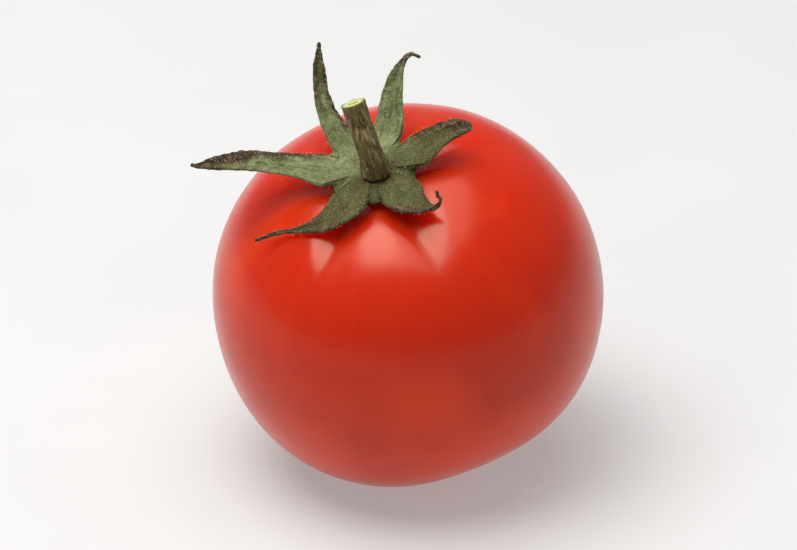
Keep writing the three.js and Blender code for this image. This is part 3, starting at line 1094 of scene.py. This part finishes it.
class TOMATO_OT_stalk(bpy.types.Operator):
    """Makes the cut stalk from the CAD stalk"""

    bl_idname = "tomato.stalk"
    bl_label = "Make stalk"

    def execute(self, context):
        settings = context.scene.tomato_stalk
        stalk = copy_of("stalk", "cut_stalk")
        rebuild_cut(stalk)
        bury_foot(stalk, settings.bury)
        sharp = math.radians(50)
        shaped(stalk, "BEVEL", width=0.03 * MM, segments=2, limit_method="ANGLE", angle_limit=sharp)
        shaped(stalk, "SUBSURF", levels=2, render_levels=2)
        rib_stalk(stalk.data, settings.rib)
        smooth(stalk)
        finish_piece(stalk, "stalk", ["stalk"], stalk_bark(settings), cut_flesh(settings))
        for face in stalk.data.polygons:
            out = face.center - CUT_MIDDLE
            height = out.dot(CUT_FACING)
            in_cut = abs(height) < CUT_DEPTH and (out - CUT_FACING * height).length < FLESH_RADIUS
            face.material_index = 1 if in_cut else 0
        return {"FINISHED"}


# ---------------------------------------------------------------- the hairs

HAIR_SEED = 12
HAIR_TILT = 0.3  # how far hairs stray from standing straight up
HAIR_ROOT = 0.02 * MM  # how far they go down into the leaf
SHORTEST = 0.35  # the shortest hairs, as a share of the longest


def one_hair(radius):
    """A hair one unit long, standing on the origin along Z, with three sides."""
    bpy.ops.object.select_all(action="DESELECT")
    bpy.ops.mesh.primitive_cone_add(
        vertices=3, radius1=radius, radius2=0.25 * radius, depth=1, location=(0, 0, 0.5)
    )
    bpy.ops.object.transform_apply()
    return bpy.context.active_object


def hair_places(obj, count, length, dice, wanted):
    """Where hairs stand on an object: matrices that put a unit hair there, leaning at random."""
    mesh = obj.data
    faces = [face for face in mesh.polygons if wanted(face)]
    weights = [face.area for face in faces]
    for face in dice.choices(faces, weights=weights, k=count):
        corners = [mesh.vertices[i].co for i in face.vertices]
        a, b = dice.random(), dice.random()
        root = corners[0].lerp(corners[1], a).lerp(corners[-1].lerp(corners[2], a), b)
        tilt = Vector((dice.gauss(0, 1), dice.gauss(0, 1), dice.gauss(0, 1))) * HAIR_TILT
        heading = (face.normal + tilt).normalized()
        tall = length * dice.uniform(SHORTEST, 1.0)
        turn = UP.rotation_difference(heading).to_matrix().to_4x4()
        foot = Matrix.Translation(root - face.normal * HAIR_ROOT)
        yield foot @ turn @ Matrix.Diagonal((1, 1, tall, 1))


def planted(name, hair, places):
    """One mesh holding a copy of the hair at each place."""
    whole = bmesh.new()
    for place in places:
        copy = hair.data.copy()
        copy.transform(place)
        whole.from_mesh(copy)
        bpy.data.meshes.remove(copy)
    mesh = bpy.data.meshes.new(name)
    whole.to_mesh(mesh)
    whole.free()
    obj = bpy.data.objects.new(name, mesh)
    bpy.context.collection.objects.link(obj)
    return obj


class TOMATO_OT_hairs(bpy.types.Operator):
    """Plants the down on the calyx and the stalk"""

    bl_idname = "tomato.hairs"
    bl_label = "Plant hairs"

    def execute(self, context):
        settings = context.scene.tomato_hair
        calyx, stalk = bpy.data.objects["calyx"], bpy.data.objects["cut_stalk"]
        hair = one_hair(settings.radius)
        finish = plant_hair(settings)
        dice = random.Random(HAIR_SEED)

        def clear_of_fruit(face):
            """Whether a face of the calyx doesn't look down into the fruit."""
            return (face.center - FRUIT_MIDDLE).normalized().dot(face.normal) > -0.4

        def on_side(face):
            """Whether a face of the stalk isn't in its cut."""
            return face.material_index == 0

        on_calyx = hair_places(calyx, settings.on_calyx, settings.length, dice, clear_of_fruit)
        finish_piece(planted("calyx_hairs", hair, on_calyx), "calyx", [], finish)
        on_stalk = hair_places(stalk, settings.on_stalk, settings.length, dice, on_side)
        finish_piece(planted("stalk_hairs", hair, on_stalk), "stalk", [], finish)
        bpy.data.objects.remove(hair)
        return {"FINISHED"}


# ---------------------------------------------------------------- the stage

# Two oval lights face straight down, the smaller one inside the wide one so that its middle is brighter.
# Their places are metres from the fruit's middle, and their sizes are metres across.
WIDE_LIGHT = {"place": (-0.05, -0.005, 0.34), "size": (0.44, 0.41)}
INNER_LIGHT = {"place": (-0.12, -0.05, 0.33), "size": (0.28, 0.3)}
WARM_WHITE = (1, 0.99, 0.97)
FLOOR_SIZE = 6
FLOOR_DROP = 0.02 * MM  # keeps the floor off the skin that rests on it
LOOKED_AT = Vector((-0.8, 0, 17.2)) * MM
NEAREST, FARTHEST = 0.05, 20


def soft_light(name, power, place, size):
    """An oval soft light overhead, facing down, placed from the fruit's middle."""
    light = bpy.data.lights.new(name, "AREA")
    light.shape = "ELLIPSE"
    light.size, light.size_y = size
    light.energy = power
    light.color = WARM_WHITE
    lamp = bpy.data.objects.new(name, light)
    lamp.location = FRUIT_MIDDLE + Vector(place)
    bpy.context.collection.objects.link(lamp)


class TOMATO_OT_stage(bpy.types.Operator):
    """Lays the floor, hangs the lights and sets up the camera"""

    bl_idname = "tomato.stage"
    bl_label = "Make stage"

    def execute(self, context):
        settings = context.scene.tomato_stage
        scene = context.scene
        bpy.ops.object.select_all(action="DESELECT")
        bpy.ops.mesh.primitive_plane_add(size=FLOOR_SIZE, location=(0, 0, -FLOOR_DROP))
        floor = context.active_object
        floor.name = "floor"
        floor.data.materials.append(studio_floor(settings))

        soft_light("wide light", settings.wide_power, **WIDE_LIGHT)
        soft_light("inner light", settings.inner_power, **INNER_LIGHT)

        world = bpy.data.worlds.new("studio room")
        world.use_nodes = True
        background = world.node_tree.nodes["Background"]
        plug(world.node_tree, background, {"Color": linear("#ffffff"), "Strength": settings.room})
        scene.world = world
        scene.view_settings.view_transform = "Standard"

        towards = Vector((0, -math.cos(settings.elevation), math.sin(settings.elevation)))
        lens = bpy.data.cameras.new("camera")
        lens.lens = lens.sensor_width * settings.distance / settings.view_width
        lens.clip_start, lens.clip_end = NEAREST, FARTHEST
        camera = bpy.data.objects.new("camera", lens)
        camera.location = LOOKED_AT + towards * settings.distance
        camera.rotation_euler = (-towards).to_track_quat("-Z", "Y").to_euler()
        bpy.context.collection.objects.link(camera)
        scene.camera = camera
        return {"FINISHED"}


# ---------------------------------------------------------------- sidebar and run


class TOMATO_PT_sidebar(bpy.types.Panel):
    """Lists the steps and the settings"""

    bl_label = "Cherry tomato"
    bl_idname = "TOMATO_PT_sidebar"
    bl_space_type = "VIEW_3D"
    bl_region_type = "UI"
    bl_category = "Tomato"

    def draw(self, context):
        for step, group in STEPS:
            box = self.layout.box()
            box.operator(step.bl_idname)
            settings = getattr(context.scene, group)
            for key in settings.__annotations__:
                box.prop(settings, key)


STEPS = [
    (TOMATO_OT_fruit, "tomato_skin"),
    (TOMATO_OT_calyx, "tomato_calyx"),
    (TOMATO_OT_stalk, "tomato_stalk"),
    (TOMATO_OT_hairs, "tomato_hair"),
    (TOMATO_OT_stage, "tomato_stage"),
]
GROUPS = {
    "tomato_skin": SkinSettings,
    "tomato_calyx": CalyxSettings,
    "tomato_stalk": StalkSettings,
    "tomato_hair": HairSettings,
    "tomato_stage": StageSettings,
}


def register():
    """Registers the settings, the steps and the sidebar."""
    for name, group in GROUPS.items():
        bpy.utils.register_class(group)
        setattr(bpy.types.Scene, name, bpy.props.PointerProperty(type=group))
    for step, _ in STEPS:
        bpy.utils.register_class(step)
    bpy.utils.register_class(TOMATO_PT_sidebar)


def unregister():
    """Takes them all away again."""
    bpy.utils.unregister_class(TOMATO_PT_sidebar)
    for step, _ in reversed(STEPS):
        bpy.utils.unregister_class(step)
    for name, group in GROUPS.items():
        delattr(bpy.types.Scene, name)
        bpy.utils.unregister_class(group)


def main():
    """Builds everything in order."""
    register()
    bpy.ops.tomato.fruit()
    bpy.ops.tomato.calyx()
    bpy.ops.tomato.stalk()
    bpy.ops.tomato.hairs()
    bpy.ops.tomato.stage()


if __name__ == "__main__":
    main()
